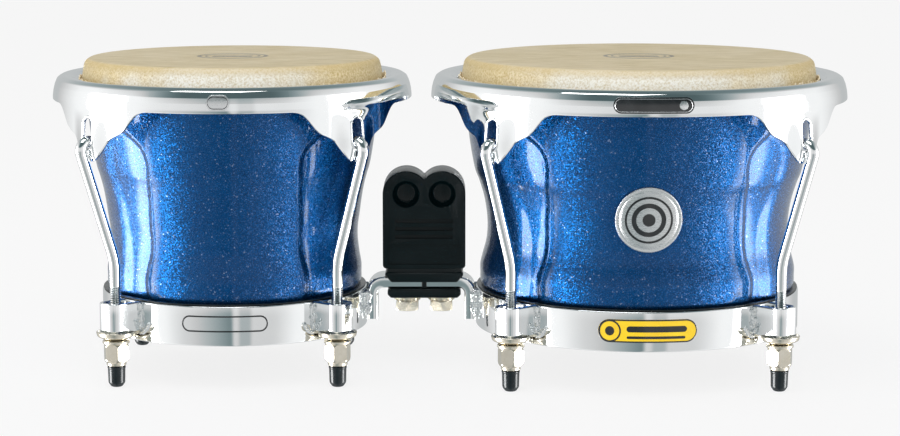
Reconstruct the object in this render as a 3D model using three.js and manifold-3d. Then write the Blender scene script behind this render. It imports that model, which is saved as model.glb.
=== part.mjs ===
// A pair of bongos: the macho (small drum) and the hembra (large drum), joined by a centre block.
// Millimetres, +Z up, the badges facing -Y. The origin is on the floor under the middle of the pair.

import * as THREE from 'three';
import { mergeVertices } from 'three/addons/utils/BufferGeometryUtils.js';
import Module from 'manifold-3d';

const wasm = await Module();
wasm.setup();

// ---------- Driving dimensions ----------

const GAP = 0.3;              // clearance between pieces that touch
const ROUND = 32;             // facets around a drum
const SMALL_ROUND = 10;       // facets around a bolt, nut, washer or foot
const DRUM_SPACING = 236.4;   // between the drums' axes

// Radii of each drum. An outline lists the outside of the shell from its foot up, as [radius, height].
const MACHO = {
  name: 'macho',
  collar: 87.25,      // outside of the skin's collar
  rim: 104.2,         // lower edge of the rim
  ring: 77.5,         // outside of the bottom ring
  rod: 88.8,          // circle of the four rods' feet
  outline: [[72.7, 34.1], [72.7, 49.7], [74.4, 49.7], [74.4, 61], [72.3, 77],
    [73.5, 91], [76, 107], [79.8, 121], [83.8, 148], [85.75, 176]],
};
const HEMBRA = {
  name: 'hembra',
  collar: 103.1,
  rim: 120.9,
  ring: 94.5,
  rod: 107,
  outline: [[89.7, 34.1], [89.7, 49.7], [92, 49.7], [92, 61], [88, 80],
    [88.3, 92], [90.6, 104], [95.4, 118], [100, 148], [101.6, 176]],
};
const LUGS = { front_left: -135, front_right: -45, back_right: 45, back_left: 135 };   // degrees

const HEAD_TOP = 183;
const SKIN = 1.7;                               // thickness of the skin on the bearing edge
const SHELL = { top: HEAD_TOP - SKIN - GAP, wall: 7 };
const COLLAR = { foot: 163, skin: 1.2 };        // the skin's collar is drawn thinner than its top
const HOOP = { foot: 162.4, top: 167.4, width: 4.7 };
const RIM_EDGE = 159.4;                         // lower edge of the rim
const RIM_BAND = { foot: 3.5, set: 0.5, lean: 0.21 };   // the rim's face leans in above its edge
const RING = { foot: 25.6, top: 48.3, wall: 2.5, ledgeTop: 31.5, ledge: 8.5, ledgeThick: 2.5 };
const GASKET = { bead: 0.8, foot: 2 };
const BRACKET = { foot: 31.8, top: 48.5, halfWidth: 8, wall: 2.5 };
const ROD = { radius: 3.2, foot: 3.6, bendFoot: 66, bendTop: 78, top: 144.5, hook: 5.3, tip: 135.3 };
const ROD_SIDES = 8;
const HOOK_OVERHANG = 6.8;                      // from the rim's lower edge out to the rod at its hook
const CAP = { height: 11.9, radius: 5.1, flat: 3, bore: 3.6 };
const NUT = { foot: 12.2, top: 27, flats: 13, holeRadius: 3.7 };
const WASHER = { foot: NUT.top + GAP, top: BRACKET.foot - GAP, seat: 6.5, radius: 11.2, edge: 1.6 };

// The rim's ears, from inside the rim down to the tip: half width, height and swelling of the middle.
const EAR = { inset: 0.9, thickness: 2.4, halfNose: 8 };
const EAR_ROWS = [[40.5, 161.5, 0], [37.5, 158.8, 1.2], [28.8, 152.6, 2.7], [24.6, 147, 3.4],
  [16.5, 143.5, 3.8], [11.8, 138.8, 3.9], [7.4, 133.2, 3], [3.2, 130, 1.7]];
const SLOT = { halfWidth: 4.3, foot: 136.8, top: 155 };

// The centre block, its clamp plate and the bent bars that join it to the two bottom rings.
const BLOCK = { x: -15.1, halfWidth: 24.1, halfDepth: 15, foot: 59.4, lobeX: 10.5, lobeZ: 103.6 };
const POCKET = { radius: 7.7, depth: 8 };
const FIN = { count: 3, foot: 77.5, height: 2.4, pitch: 4.6, halfWidth: 17, depth: 2 };
const PANEL = { foot: 62.8, top: 74.8, halfWidth: 21.2, depth: 0.8 };
const SKIRT = { foot: 51.8, halfDepth: 15.5 };
const BAR = { foot: 48, top: 54.5, halfDepth: 12, bend: 10, legFoot: 29.6, endGap: 1.5 };
const PLATE = { foot: 42.2, top: BAR.foot - GAP, halfWidth: 21.4, halfDepth: 14 };
const BOLT = { halfSpacing: 10, radius: 4, hole: 4.5, flats: 13, headFoot: 33, headTop: 38.8, top: 73 };
const LOCK_WASHER = { foot: BOLT.headTop + GAP, top: PLATE.foot - GAP, radius: 7.8 };

// Badges, all blank.
const BADGE = { radius: 18.75, height: 99.5, thickness: 0.9 };

// ---------- Materials ----------

function finish(color, roughness, metalness) {
  return new THREE.MeshStandardMaterial({ color, roughness, metalness });
}

const MATERIAL = {
  lacquer: finish(0x0a4488, 0.25, 0.35),
  chrome: finish(0xd4d8da, 0.08, 1),
  nickel: finish(0xc8c4b4, 0.28, 1),
  skin: finish(0xddd0a8, 0.6, 0),
  steel: finish(0x9a9c9c, 0.45, 1),
  rubber: finish(0x181c1e, 0.75, 0),
  nylon: finish(0x1c2628, 0.4, 0),
  badge: finish(0xc4c8cc, 0.35, 1),
  blackEnamel: finish(0x101416, 0.3, 0),
  yellowEnamel: finish(0xf0cc20, 0.35, 0),
};

// ---------- Geometry helpers ----------

// Turns a piece drawn flat, facing +Z with its top at +Y, to face +X with its top at +Z.
const UPRIGHT = new THREE.Matrix4().makeBasis(
  new THREE.Vector3(0, 1, 0), new THREE.Vector3(0, 0, 1), new THREE.Vector3(1, 0, 0));

/** A ring or cap turned about Z. Its section runs anticlockwise as [radius, height]. */
function turned(section, facets = ROUND) {
  const onAxis = section[0][0] === 0;
  const loop = onAxis ? section : [...section, section[0]];
  const points = loop.map(([radius, height]) => new THREE.Vector2(radius, height));
  return new THREE.LatheGeometry(points, facets).rotateX(Math.PI / 2);
}

/** A closed flat outline, from [x, y] corners. */
function outline(corners) {
  return new THREE.Shape(corners.map(([x, y]) => new THREE.Vector2(x, y)));
}

/** A straight-sided solid between two heights, from its outline seen from above. Facets are per circle. */
function raised(shape, foot, top, facets = SMALL_ROUND) {
  const settings = { depth: top - foot, bevelEnabled: false, curveSegments: facets / 2 };
  return new THREE.ExtrudeGeometry(shape, settings).translate(0, 0, foot);
}

/** A solid as deep front to back as twice halfDepth, from its outline seen from the front. */
function facing(shape, halfDepth, facets = SMALL_ROUND) {
  return raised(shape, -halfDepth, halfDepth, facets).rotateX(Math.PI / 2);
}

function block(x0, x1, y0, y1, z0, z1) {
  const box = new THREE.BoxGeometry(x1 - x0, y1 - y0, z1 - z0);
  return box.translate((x0 + x1) / 2, (y0 + y1) / 2, (z0 + z1) / 2);
}

function upright(x, radius, foot, top) {
  return raised(circle(radius), foot, top).translate(x, 0, 0);
}

function circle(radius) {
  return new THREE.Shape().absarc(0, 0, radius, 0, 2 * Math.PI);
}

function hexagon(flats) {
  const corner = flats / Math.sqrt(3);
  const corners = Array.from({ length: 6 }, (_, i) => i * Math.PI / 3);
  return outline(corners.map((angle) => [corner * Math.cos(angle), corner * Math.sin(angle)]));
}

/** Moves every point of a geometry to where place(point) says. */
function reshaped(geometry, place) {
  const position = geometry.getAttribute('position');
  const point = new THREE.Vector3();
  for (let i = 0; i < position.count; i += 1) {
    point.fromBufferAttribute(position, i);
    position.setXYZ(i, ...place(point));
  }
  return geometry;
}

function toManifold(geometry) {
  const bare = geometry.clone().deleteAttribute('normal').deleteAttribute('uv');
  const merged = mergeVertices(bare, 1e-4);
  const index = merged.getIndex().array;
  const triangles = [];
  for (let i = 0; i < index.length; i += 3) {
    const [a, b, c] = [index[i], index[i + 1], index[i + 2]];
    if (a !== b && b !== c && c !== a) triangles.push(a, b, c);
  }
  const vertProperties = new Float32Array(merged.getAttribute('position').array);
  const triVerts = new Uint32Array(triangles);
  return new wasm.Manifold(new wasm.Mesh({ numProp: 3, vertProperties, triVerts }));
}

/** Joins the added geometries and takes the cut ones away. */
function combined(added, cut = []) {
  let solid = toManifold(added[0]);
  for (const geometry of added.slice(1)) solid = solid.add(toManifold(geometry));
  for (const geometry of cut) solid = solid.subtract(toManifold(geometry));
  const { vertProperties, triVerts } = solid.getMesh();
  const geometry = new THREE.BufferGeometry();
  geometry.setAttribute('position', new THREE.BufferAttribute(vertProperties, 3));
  return geometry.setIndex(new THREE.BufferAttribute(triVerts, 1));
}

function atLugs(geometry) {
  return Object.values(LUGS).map((degrees) => geometry.clone().rotateZ(THREE.MathUtils.degToRad(degrees)));
}

// ---------- Drum pieces, each on its drum's axis ----------

function shell({ outline: outside }) {
  const edge = outside.at(-1)[0];
  const bearingEdge = [[edge - 0.85, 179.2], [edge - 3.75, SHELL.top], [edge - 6.25, SHELL.top]];
  const inside = outside.filter((_, i) => i === 0 || i >= 4)
    .map(([radius, height]) => [radius - SHELL.wall, height]);
  return turned([...outside, ...bearingEdge, ...inside.reverse()]);
}

function skin({ collar }) {
  const under = HEAD_TOP - SKIN;
  return turned([[0, under], [collar - 4.95, under], [collar - 2.05, 179.6], [collar - COLLAR.skin, 176.5],
    [collar - COLLAR.skin, COLLAR.foot], [collar, COLLAR.foot], [collar, 177], [collar - 1.75, 181.3],
    [collar - 6.25, HEAD_TOP], [0, HEAD_TOP]]);
}

function fleshHoop({ collar }) {
  const inner = collar + 0.5;
  const outer = inner + HOOP.width;
  return turned([[inner, HOOP.foot], [outer, HOOP.foot], [outer, HOOP.top - 1], [outer - 1, HOOP.top],
    [inner, HOOP.top]]);
}

/** The bottom ring has an inward ledge under the shell's foot, and four U-shaped brackets for the rods. */
function bottomRing({ ring, rod }) {
  const inner = ring - RING.wall;
  const ledge = inner - RING.ledge;
  const band = turned([[inner, RING.foot], [ring, RING.foot], [ring, RING.top], [inner, RING.top],
    [inner, RING.ledgeTop], [ledge, RING.ledgeTop], [ledge, RING.ledgeTop - RING.ledgeThick],
    [inner, RING.ledgeTop - RING.ledgeThick]]);
  const plan = new THREE.Shape();
  plan.moveTo(ring - RING.wall / 2, -BRACKET.halfWidth);
  plan.lineTo(rod, -BRACKET.halfWidth);
  plan.absarc(rod, 0, BRACKET.halfWidth, -Math.PI / 2, Math.PI / 2);
  plan.lineTo(ring - RING.wall / 2, BRACKET.halfWidth);
  const hollow = BRACKET.halfWidth - BRACKET.wall;
  const hole = new THREE.Path();
  hole.moveTo(ring + 0.6, -hollow);
  hole.lineTo(rod, -hollow);
  hole.absarc(rod, 0, hollow, -Math.PI / 2, Math.PI / 2);
  hole.lineTo(ring + 0.6, hollow);
  plan.holes.push(hole);
  return combined([band, ...atLugs(raised(plan, BRACKET.foot, BRACKET.top))]);
}

/** A rubber sleeve between the shell's foot and the ring, with a bead that shows above the ring. */
function gasket({ ring, outline: outside }) {
  const inner = outside[0][0] + GAP;
  const outer = ring - RING.wall - GAP;
  const foot = RING.ledgeTop + GAP;
  const bead = RING.top + GAP;
  return turned([[outer - 7.7, foot], [outer, foot], [outer, bead], [ring - 0.5, bead],
    [ring - 0.5, bead + GASKET.bead], [inner, bead + GASKET.bead], [inner, foot + GASKET.foot],
    [outer - 7.7, foot + GASKET.foot]]);
}

/** One ear, facing +X: a plate that hangs from the rim, swelling outwards where the hook passes through. */
function ear({ rim }) {
  const rows = EAR_ROWS.length - 1;
  const plate = new THREE.BoxGeometry(2, 1, 1, 8, rows, 1);
  return reshaped(plate, ({ x, y, z }) => {
    const [halfWidth, height, nose] = EAR_ROWS[Math.round((0.5 - y) * rows)];
    const middle = Math.min(EAR.halfNose, halfWidth / 2);
    const beyond = Math.max(0, Math.abs(x) - 0.5);
    const across = Math.sign(x) * (Math.min(Math.abs(x), 0.5) * middle + beyond * (halfWidth - middle)) * 2;
    const swelling = Math.max(0, 1 - (across / EAR.halfNose) ** 2);
    const radius = rim - EAR.inset + nose * swelling + (z - 0.5) * EAR.thickness;
    const angle = across / rim;
    return [radius * Math.cos(angle), radius * Math.sin(angle), height];
  });
}

function earSlot({ rim }) {
  const slot = new THREE.Shape();
  slot.absarc(0, SLOT.foot + SLOT.halfWidth, SLOT.halfWidth, Math.PI, 2 * Math.PI);
  slot.absarc(0, SLOT.top - SLOT.halfWidth, SLOT.halfWidth, 0, Math.PI);
  return raised(slot, rim - 12, rim + 12, 6).applyMatrix4(UPRIGHT);
}

function rim(drum) {
  const section = [[0, 0], [-RIM_BAND.set, RIM_BAND.foot], [-1.7, 9.1], [-2.9, 12.3], [-5.6, 14.1], [-11, 13.5],
    [-14.4, 10.3], [-14.4, 8.3], [-12.3, 8.3], [-10.6, 11.4], [-6, 11.8], [-4, 9.1], [-2.9, 0]];
  const hoop = turned(section.map(([radius, height]) => [drum.rim + radius, RIM_EDGE + height]));
  return combined([hoop, ...atLugs(ear(drum))], atLugs(earSlot(drum)));
}

/** The middle line of a rod, facing +X: straight up, bent out, then hooked in over the ear. */
class RodLine extends THREE.Curve {
  constructor({ rod, rim: edge }) {
    super();
    const top = edge + HOOK_OVERHANG;
    const hookFoot = ROD.top - ROD.radius - ROD.hook;
    const foot = new THREE.Vector3(rod, 0, ROD.foot);
    const slope = (top - rod) / (hookFoot - (ROD.bendFoot + ROD.bendTop) / 2);
    const bend = new THREE.QuadraticBezierCurve3(
      new THREE.Vector3(rod, 0, ROD.bendFoot),
      new THREE.Vector3(rod, 0, (ROD.bendFoot + ROD.bendTop) / 2),
      new THREE.Vector3(rod + slope * (ROD.bendTop - ROD.bendFoot) / 2, 0, ROD.bendTop));
    const lean = Math.atan(slope);
    const across = ROD.hook * (1 + Math.cos(lean)) / 2;
    const hook = [0, 1, 2, 3, 4, 5, 6].map((step) => {
      const angle = -lean + step * (Math.PI + lean) / 6;
      const radius = top - across + across * Math.cos(angle);
      return new THREE.Vector3(radius, 0, hookFoot + ROD.hook * Math.sin(angle));
    });
    const tip = new THREE.Vector3(hook.at(-1).x, 0, ROD.tip);
    this.knots = [foot, ...bend.getPoints(3), ...hook, tip];
  }

  /** Each step along the line ends on a knot, so the long straights stay one step each. */
  getPoint(t) {
    const place = THREE.MathUtils.clamp(t, 0, 1) * (this.knots.length - 1);
    const from = Math.min(Math.floor(place), this.knots.length - 2);
    return this.knots[from].clone().lerp(this.knots[from + 1], place - from);
  }

  getUtoTmapping(u) {
    return u;
  }
}

function rod(drum) {
  const extrudePath = new RodLine(drum);
  const steps = extrudePath.knots.length - 1;
  const settings = { steps, extrudePath, curveSegments: ROD_SIDES / 2 };
  return new THREE.ExtrudeGeometry(circle(ROD.radius), settings);
}

// ---------- Lug hardware, on its rod's axis ----------

function nut() {
  const shape = hexagon(NUT.flats);
  shape.holes.push(new THREE.Path().absarc(0, 0, NUT.holeRadius, 0, 2 * Math.PI));
  return raised(shape, NUT.foot, NUT.top);
}

function washer() {
  const { foot, top, seat, radius, edge } = WASHER;
  return turned([[NUT.holeRadius, foot], [seat, foot], [radius, top - edge], [radius, top],
    [NUT.holeRadius, top]], SMALL_ROUND);
}

function footCap() {
  const floor = ROD.foot - GAP;
  return turned([[0, 0], [CAP.flat, 0], [CAP.radius, 2.2], [CAP.radius, CAP.height], [CAP.bore, CAP.height],
    [CAP.bore, floor], [0, floor]], SMALL_ROUND);
}

// ---------- Centre pieces, across the middle of the block ----------

function centreBlock() {
  const { halfWidth, halfDepth, foot, lobeX, lobeZ } = BLOCK;
  const lobe = halfWidth - lobeX;
  const notch = Math.acos(lobeX / lobe);
  const front = new THREE.Shape();
  front.moveTo(-halfWidth, foot);
  front.lineTo(-halfWidth, lobeZ);
  front.absarc(-lobeX, lobeZ, lobe, Math.PI, notch, true);
  front.absarc(lobeX, lobeZ, lobe, Math.PI - notch, 0, true);
  front.lineTo(halfWidth, foot);
  const skirt = outline([[-22, foot + 0.5], [-23.1, 56.3], [-19.2, SKIRT.foot],
    [19.2, SKIRT.foot], [23.1, 56.3], [22, foot + 0.5]]);
  const cuts = [block(-30, 30, -BAR.halfDepth - GAP, BAR.halfDepth + GAP, SKIRT.foot - 2, BAR.top + GAP)];
  for (const side of [-1, 1]) {
    cuts.push(upright(side * BOLT.halfSpacing, BOLT.hole, SKIRT.foot, BOLT.top + 1));
    const faceY = side * halfDepth;
    const recess = (half, depth, low, high) => block(-half, half, faceY - depth, faceY + depth, low, high);
    cuts.push(recess(PANEL.halfWidth, PANEL.depth, PANEL.foot, PANEL.top));
    for (let i = 0; i < FIN.count; i += 1) {
      const low = FIN.foot + i * FIN.pitch;
      cuts.push(recess(FIN.halfWidth, FIN.depth, low, low + FIN.height));
    }
    for (const x of [-lobeX, lobeX]) {
      cuts.push(facing(circle(POCKET.radius), POCKET.depth, 16).translate(x, faceY, lobeZ));
    }
  }
  return combined([facing(front, halfDepth), facing(skirt, SKIRT.halfDepth)], cuts);
}

/** The clamp plate has a thin tab that stands between the ends of the two bars. */
function clampPlate() {
  const { foot, top, halfWidth, halfDepth } = PLATE;
  const front = outline([[-halfWidth, top], [-halfWidth, foot + 2], [2 - halfWidth, foot],
    [halfWidth - 2, foot], [halfWidth, foot + 2], [halfWidth, top]]);
  const holes = [-1, 1].map((side) => upright(side * BOLT.halfSpacing, BOLT.hole, foot - 1, top + 1));
  const halfTab = BAR.endGap - GAP;
  const tab = block(-halfTab, halfTab, -BAR.halfDepth, BAR.halfDepth, top - 1, BAR.top);
  return combined([facing(front, halfDepth), tab], holes);
}

/** A flat bar that leaves the block sideways and bends down along a bottom ring, towards side -1 or 1. */
function bentBar(side, reach) {
  const thickness = BAR.top - BAR.foot;
  const bendX = reach - BAR.bend;
  const bendZ = BAR.top - BAR.bend;
  const front = new THREE.Shape();
  front.moveTo(BAR.endGap, BAR.top);
  front.lineTo(bendX, BAR.top);
  front.absarc(bendX, bendZ, BAR.bend, Math.PI / 2, 0, true);
  front.lineTo(reach, BAR.legFoot);
  front.lineTo(reach - thickness, BAR.legFoot);
  front.absarc(bendX, bendZ, BAR.bend - thickness, 0, Math.PI / 2);
  front.lineTo(BAR.endGap, BAR.foot);
  const bar = facing(front, BAR.halfDepth, 6);
  if (side < 0) bar.rotateZ(Math.PI);
  return combined([bar], [upright(side * BOLT.halfSpacing, BOLT.hole, BAR.foot - 1, BAR.top + 1)]);
}

function bolt() {
  const head = raised(hexagon(BOLT.flats), BOLT.headFoot, BOLT.headTop);
  return combined([head, upright(0, BOLT.radius, BOLT.headTop - 1, BOLT.top)]);
}

function lockWasher() {
  return turned([[BOLT.hole, LOCK_WASHER.foot], [LOCK_WASHER.radius, LOCK_WASHER.foot],
    [LOCK_WASHER.radius, LOCK_WASHER.top], [BOLT.hole, LOCK_WASHER.top]], SMALL_ROUND);
}

// ---------- Badges, wrapped around the front of a drum ----------

/** Wraps a flat piece, drawn about its own middle, around the front (-Y) of a drum at a height. */
function wrapped(geometry, height, radiusAt) {
  return reshaped(geometry, ({ x, y, z }) => {
    const radius = radiusAt(height + y) + GAP + z;
    const angle = x / radius;
    return [radius * Math.sin(angle), -radius * Math.cos(angle), height + y];
  });
}

function roundBadge() {
  const { radius, thickness } = BADGE;
  return turned([[0, 0], [radius / 2, 0], [radius, 0], [radius, thickness], [radius / 2, thickness],
    [0, thickness]], 24);
}

/** A plate with round ends. */
function pill(length, height, thickness) {
  const columns = 14;
  const straight = (length - height) / 2;
  return reshaped(new THREE.BoxGeometry(2, 1, thickness, columns, 1, 1), ({ x, y, z }) => {
    const along = Math.sin(x * Math.PI / 2) * length / 2;
    const past = Math.max(0, Math.abs(along) - straight) / (height / 2);
    const taper = Math.sqrt(Math.max(0.04, 1 - past * past));
    return [along, y * height * taper, z + thickness / 2];
  });
}

/** The badge's back is straight from its lower to its upper edge, so it bridges the waist of the shell. */
function badgeBack({ outline: outside }) {
  const radiusAt = (height) => {
    const above = outside.findIndex(([, z]) => z >= height);
    const [[r0, z0], [r1, z1]] = [outside[above - 1], outside[above]];
    return r0 + (r1 - r0) * (height - z0) / (z1 - z0);
  };
  const [foot, top] = [radiusAt(BADGE.height - BADGE.radius), radiusAt(BADGE.height + BADGE.radius)];
  return (height) => foot + (top - foot) * (height - BADGE.height + BADGE.radius) / (2 * BADGE.radius);
}

// ---------- Assembly ----------

function add(parent, name, geometry, material) {
  const mesh = new THREE.Mesh(geometry, material);
  mesh.name = name;
  parent.add(mesh);
  return mesh;
}

function drumGroup(drum, x) {
  const group = new THREE.Group();
  group.position.x = x;
  add(group, `${drum.name}_shell`, shell(drum), MATERIAL.lacquer);
  add(group, `${drum.name}_skin`, skin(drum), MATERIAL.skin);
  add(group, `${drum.name}_flesh_hoop`, fleshHoop(drum), MATERIAL.steel);
  add(group, `${drum.name}_rim`, rim(drum), MATERIAL.chrome);
  add(group, `${drum.name}_bottom_ring`, bottomRing(drum), MATERIAL.chrome);
  add(group, `${drum.name}_gasket`, gasket(drum), MATERIAL.rubber);
  for (const [place, degrees] of Object.entries(LUGS)) {
    const lug = new THREE.Group();
    lug.rotation.z = THREE.MathUtils.degToRad(degrees);
    group.add(lug);
    add(lug, `${drum.name}_rod_${place}`, rod(drum), MATERIAL.chrome);
    const hardware = new THREE.Group();
    hardware.position.x = drum.rod;
    lug.add(hardware);
    add(hardware, `${drum.name}_washer_${place}`, washer(), MATERIAL.chrome);
    add(hardware, `${drum.name}_nut_${place}`, nut(), MATERIAL.nickel);
    add(hardware, `${drum.name}_foot_${place}`, footCap(), MATERIAL.rubber);
  }
  return group;
}

const span = MACHO.rim + DRUM_SPACING + HEMBRA.rim;
const machoX = MACHO.rim - span / 2;
const hembraX = span / 2 - HEMBRA.rim;
const macho = drumGroup(MACHO, machoX);
const hembra = drumGroup(HEMBRA, hembraX);

const rimFace = ({ rim: edge }) => (height) =>
  edge - RIM_BAND.set - RIM_BAND.lean * (height - RIM_EDGE - RIM_BAND.foot);
add(macho, 'macho_rim_badge', wrapped(pill(13, 8.4, 0.5), 165.6, rimFace(MACHO)), MATERIAL.badge);
add(hembra, 'hembra_rim_badge', wrapped(pill(44, 8.8, 0.5), 165.8, rimFace(HEMBRA)), MATERIAL.blackEnamel);
add(hembra, 'hembra_shell_badge', wrapped(roundBadge(), BADGE.height, badgeBack(HEMBRA)), MATERIAL.badge);
const ringFace = () => HEMBRA.ring;
add(hembra, 'hembra_ring_badge', wrapped(pill(56, 13, 0.5), 37.6, ringFace), MATERIAL.yellowEnamel);

const centre = new THREE.Group();
centre.position.x = BLOCK.x;
add(centre, 'centre_block', centreBlock(), MATERIAL.nylon);
add(centre, 'clamp_plate', clampPlate(), MATERIAL.nylon);
const machoReach = BLOCK.x - (machoX + MACHO.ring) - GAP;
const hembraReach = (hembraX - HEMBRA.ring) - BLOCK.x - GAP;
add(centre, 'bar_macho', bentBar(-1, machoReach), MATERIAL.chrome);
add(centre, 'bar_hembra', bentBar(1, hembraReach), MATERIAL.chrome);
for (const [place, side] of [['left', -1], ['right', 1]]) {
  const fastener = new THREE.Group();
  fastener.position.x = side * BOLT.halfSpacing;
  centre.add(fastener);
  add(fastener, `bolt_${place}`, bolt(), MATERIAL.nickel);
  add(fastener, `lock_washer_${place}`, lockWasher(), MATERIAL.nickel);
}

const bongos = new THREE.Group();
bongos.add(macho, hembra, centre);

export default bongos;
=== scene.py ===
"""A pair of bongos: two tuned drums, the small macho and the large hembra, joined by a centre block.

Shape tables are in millimetres, and mesh_object() turns them into metres in the shared frame.
"""

import math

import bmesh
import bpy
import numpy as np
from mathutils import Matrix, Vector, noise


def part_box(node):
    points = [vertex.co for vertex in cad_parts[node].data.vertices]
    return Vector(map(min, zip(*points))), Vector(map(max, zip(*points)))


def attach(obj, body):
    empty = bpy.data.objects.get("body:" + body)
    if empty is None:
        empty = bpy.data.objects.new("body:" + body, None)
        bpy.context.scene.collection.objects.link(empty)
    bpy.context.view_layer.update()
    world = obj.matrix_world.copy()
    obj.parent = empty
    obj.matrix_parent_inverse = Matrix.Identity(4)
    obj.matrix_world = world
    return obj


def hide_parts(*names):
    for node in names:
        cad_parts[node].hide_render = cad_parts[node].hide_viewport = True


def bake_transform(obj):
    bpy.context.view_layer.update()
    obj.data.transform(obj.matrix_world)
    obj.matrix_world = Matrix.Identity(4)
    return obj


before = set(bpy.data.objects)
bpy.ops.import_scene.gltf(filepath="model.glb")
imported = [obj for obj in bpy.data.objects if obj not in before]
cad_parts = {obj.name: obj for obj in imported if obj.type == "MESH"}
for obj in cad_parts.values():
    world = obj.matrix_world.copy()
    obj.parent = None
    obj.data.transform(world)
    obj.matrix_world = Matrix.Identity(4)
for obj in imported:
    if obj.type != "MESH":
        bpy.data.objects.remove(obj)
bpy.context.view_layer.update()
scene = bpy.context.scene

MM = 0.001
LUGS = {"front_left": -135, "front_right": -45, "back_right": 45, "back_left": 135}
HEAD_TOP = 183.0
RIM_EDGE = 159.4
ROD_RADIUS = 3.2
THREAD_PITCH = 1.25
HEX_FLATS = 13.0
BOLT_X = 10
FINISHES = {}


# ---------- Camera, light and floor ----------


def look():
    """A long lens at the height of the drums' heads, looking slightly down at the pair."""
    camera = bpy.data.objects.new("camera", bpy.data.cameras.new("camera"))
    camera.data.lens = 104.8
    camera.data.sensor_width = 36
    camera.location = (0, -1.5242, 0.3049)
    camera.rotation_euler = (math.pi / 2 - 0.1416, 0, 0)
    scene.collection.objects.link(camera)
    scene.camera = camera
    scene.view_settings.view_transform = "Standard"


def area_light(name, place, target, size, power):
    data = bpy.data.lights.new(name, "AREA")
    data.shape, (data.size, data.size_y) = "RECTANGLE", size
    data.energy = power
    lamp = bpy.data.objects.new(name, data)
    lamp.location = place
    lamp.rotation_euler = (Vector(target) - Vector(place)).to_track_quat("-Z", "Y").to_euler()
    lamp.visible_camera = False
    scene.collection.objects.link(lamp)


# ---------- Material nodes ----------


class Graph:
    """Adds nodes to a tree. An input may be a value or another node's output."""

    def __init__(self, tree):
        self.tree = tree
        tree.nodes.clear()

    def add(self, kind, inputs=None, out=0, **settings):
        made = self.tree.nodes.new(kind)
        for key, value in settings.items():
            setattr(made, key, value)
        for key, value in (inputs or {}).items():
            self.put(made.inputs[key], value)
        return made.outputs[out] if made.outputs else None

    def put(self, socket, value):
        if isinstance(value, bpy.types.NodeSocket):
            self.tree.links.new(value, socket)
        elif socket.type == "RGBA" and len(value) == 3:
            socket.default_value = (*value, 1)
        else:
            socket.default_value = value

    def math(self, operation, *values):
        return self.add("ShaderNodeMath", dict(enumerate(values)), operation=operation)

    def vector(self, operation, *values):
        return self.add("ShaderNodeVectorMath", dict(enumerate(values)), operation=operation)

    def place(self):
        return self.add("ShaderNodeTexCoord", out="Object")

    def axes(self, vector):
        split = self.add("ShaderNodeSeparateXYZ", {0: vector}).node
        return split.outputs[0], split.outputs[1], split.outputs[2]

    def spread(self, value, low, high, to_low=0.0, to_high=1.0, smooth=False):
        kind = "SMOOTHSTEP" if smooth else "LINEAR"
        inputs = {"Value": value, "From Min": low, "From Max": high, "To Min": to_low, "To Max": to_high}
        return self.add("ShaderNodeMapRange", inputs, interpolation_type=kind)

    def pulse(self, value, centre, width):
        """1 at centre, falling to 0 at width either side."""
        away = self.math("ABSOLUTE", self.math("SUBTRACT", value, centre))
        return self.spread(away, width, width * 0.4, smooth=True)

    def mix(self, share, a, b, blend="MIX"):
        made = self.tree.nodes.new("ShaderNodeMix")
        made.data_type, made.blend_type = "RGBA", blend
        for key, value in ((0, share), (6, a), (7, b)):
            self.put(made.inputs[key], value)
        return made.outputs[2]

    def noise(self, vector, scale, detail=3.0, roughness=0.5):
        inputs = {"Vector": vector, "Scale": scale, "Detail": detail, "Roughness": roughness}
        return self.add("ShaderNodeTexNoise", inputs)

    def bump(self, height, strength, distance):
        inputs = {"Height": height, "Strength": strength, "Distance": distance}
        return self.add("ShaderNodeBump", inputs)


def finish(build):
    """Makes a material once, named after build. build(graph) returns the inputs of its Principled shader."""
    name = build.__name__
    if name not in FINISHES:
        made = bpy.data.materials.new(name)
        made.use_nodes = True
        graph = Graph(made.node_tree)
        surface = graph.add("ShaderNodeBsdfPrincipled", build(graph))
        graph.add("ShaderNodeOutputMaterial", {"Surface": surface})
        FINISHES[name] = made
    return FINISHES[name]


def blue_sparkle(g):
    """Lacquer with metal flakes, each at its own tilt, under a clear coat."""
    place = g.place()
    fine = g.add("ShaderNodeTexVoronoi", {"Vector": place, "Scale": 3000}, out="Color")
    coarse = g.add("ShaderNodeTexVoronoi", {"Vector": place, "Scale": 1500}, out="Color")
    fine_red, fine_green, _ = g.axes(fine)
    coarse_red, _, _ = g.axes(coarse)
    cloud = g.noise(place, 45, 2)
    base = g.mix(fine_green, (0.0, 0.034, 0.122), (0.0, 0.076, 0.255))
    base = g.mix(g.spread(cloud, 0.35, 0.7, 0, 0.3), base, (0.0, 0.09, 0.28))
    base = g.mix(g.spread(fine_red, 0.87, 1.0, 0, 0.6), base, (0.13, 0.23, 0.48))
    base = g.mix(g.spread(coarse_red, 0.985, 0.995, 0, 0.6), base, (0.34, 0.42, 0.62))
    tilt = g.vector("SUBTRACT", fine, (0.5, 0.5, 0.5))
    tilt = g.add("ShaderNodeVectorMath", {0: tilt, "Scale": 0.42}, operation="SCALE")
    normal = g.vector("NORMALIZE", g.vector("ADD", tilt, g.add("ShaderNodeNewGeometry", out="Normal")))
    rough = g.spread(fine_red, 0, 1, 0.22, 0.34)
    return {"Base Color": base, "Metallic": 0.78, "Roughness": rough, "Normal": normal,
            "Specular IOR Level": 0.1, "Coat Weight": 1.0, "Coat Roughness": 0.07, "Coat IOR": 1.27}


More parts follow.
